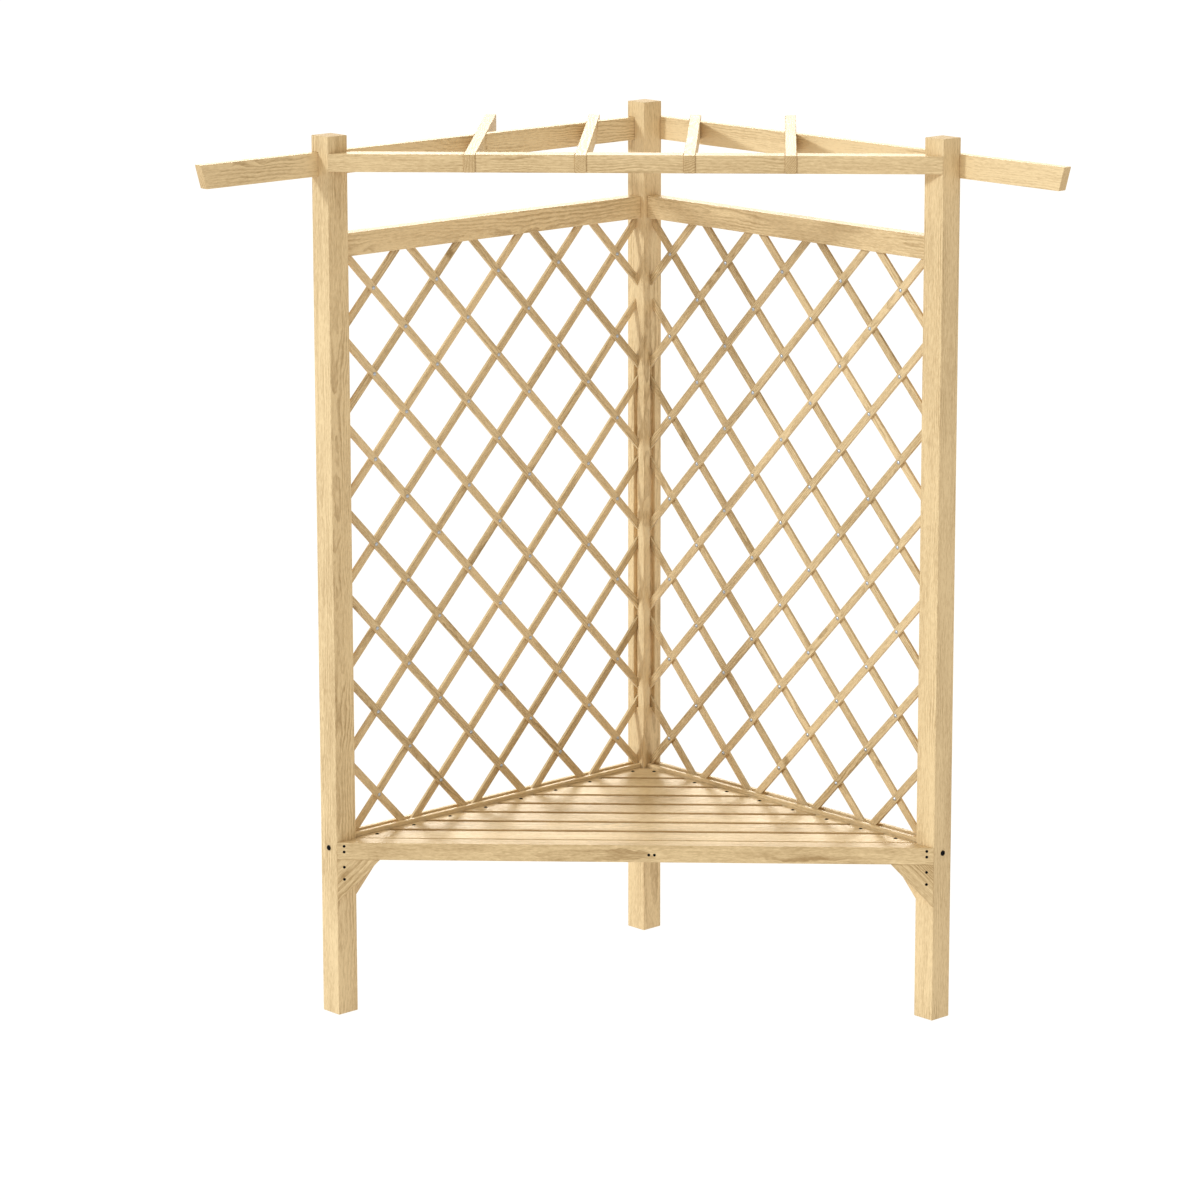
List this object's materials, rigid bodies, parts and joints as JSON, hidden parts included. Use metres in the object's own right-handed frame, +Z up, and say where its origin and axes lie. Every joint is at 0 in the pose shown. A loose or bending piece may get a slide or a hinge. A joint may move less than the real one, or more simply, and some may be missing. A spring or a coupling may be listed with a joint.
{
  "type": "corner arbour seat",
  "caption": "Corner arbour seat for a garden: a slatted bench between trellis walls that meet at a right angle, on square posts, under an open roof of rafters.",
  "frame": {"origin": "on the ground, under the middle of the overall box", "axes": "+Z up, +Y to the rear towards the back post, +X to the right seen from the front"},
  "size_m": [1.849, 0.94, 1.971],
  "materials": {
    "pine": "planed and unstained",
    "lath_wood": "planed and unstained",
    "dowel_wood": "fluted beech, unfinished",
    "black_screws": "black, satin",
    "plated_screws": "zinc plated",
    "rivet_metal": "bright"
  },
  "bodies": {
    "root": {"back_post": "pine", "bearer_screws": "black_screws", "front_bracket_screws": "black_screws", "front_rail_screws": "black_screws", "ledger_screws": "plated_screws", "left_front_bracket": "pine", "left_front_post": "pine", "left_panel_top_rail": "pine", "left_roof_rail": "pine", "left_seat_side_rail": "pine", "left_side_bracket": "pine", "left_slat_ledger": "pine", "left_trellis_inner_laths": "lath_wood", "left_trellis_outer_laths": "lath_wood", "left_trellis_rivets": "rivet_metal", "panel_rail_dowels": "dowel_wood", "rafter_beam_screws": "plated_screws", "rafter_far_left": "pine", "rafter_far_right": "pine", "rafter_left": "pine", "rafter_rail_screws": "plated_screws", "rafter_right": "pine", "right_front_bracket": "pine", "right_front_post": "pine", "right_panel_top_rail": "pine", "right_roof_rail": "pine", "right_seat_side_rail": "pine", "right_side_bracket": "pine", "right_slat_ledger": "pine", "right_trellis_inner_laths": "lath_wood", "right_trellis_outer_laths": "lath_wood", "right_trellis_rivets": "rivet_metal", "roof_beam_dowels": "dowel_wood", "roof_front_beam": "pine", "roof_rail_screws": "plated_screws", "seat_front_rail": "pine", "seat_middle_bearer": "pine", "seat_slat_1": "pine", "seat_slat_2": "pine", "seat_slat_3": "pine", "seat_slat_4": "pine", "seat_slat_5": "pine", "seat_slat_6": "pine", "seat_slat_7": "pine", "seat_slat_8": "pine", "side_bracket_screws": "plated_screws", "side_rail_bolts": "black_screws", "slat_screws": "black_screws"}
  },
  "joints": []
}
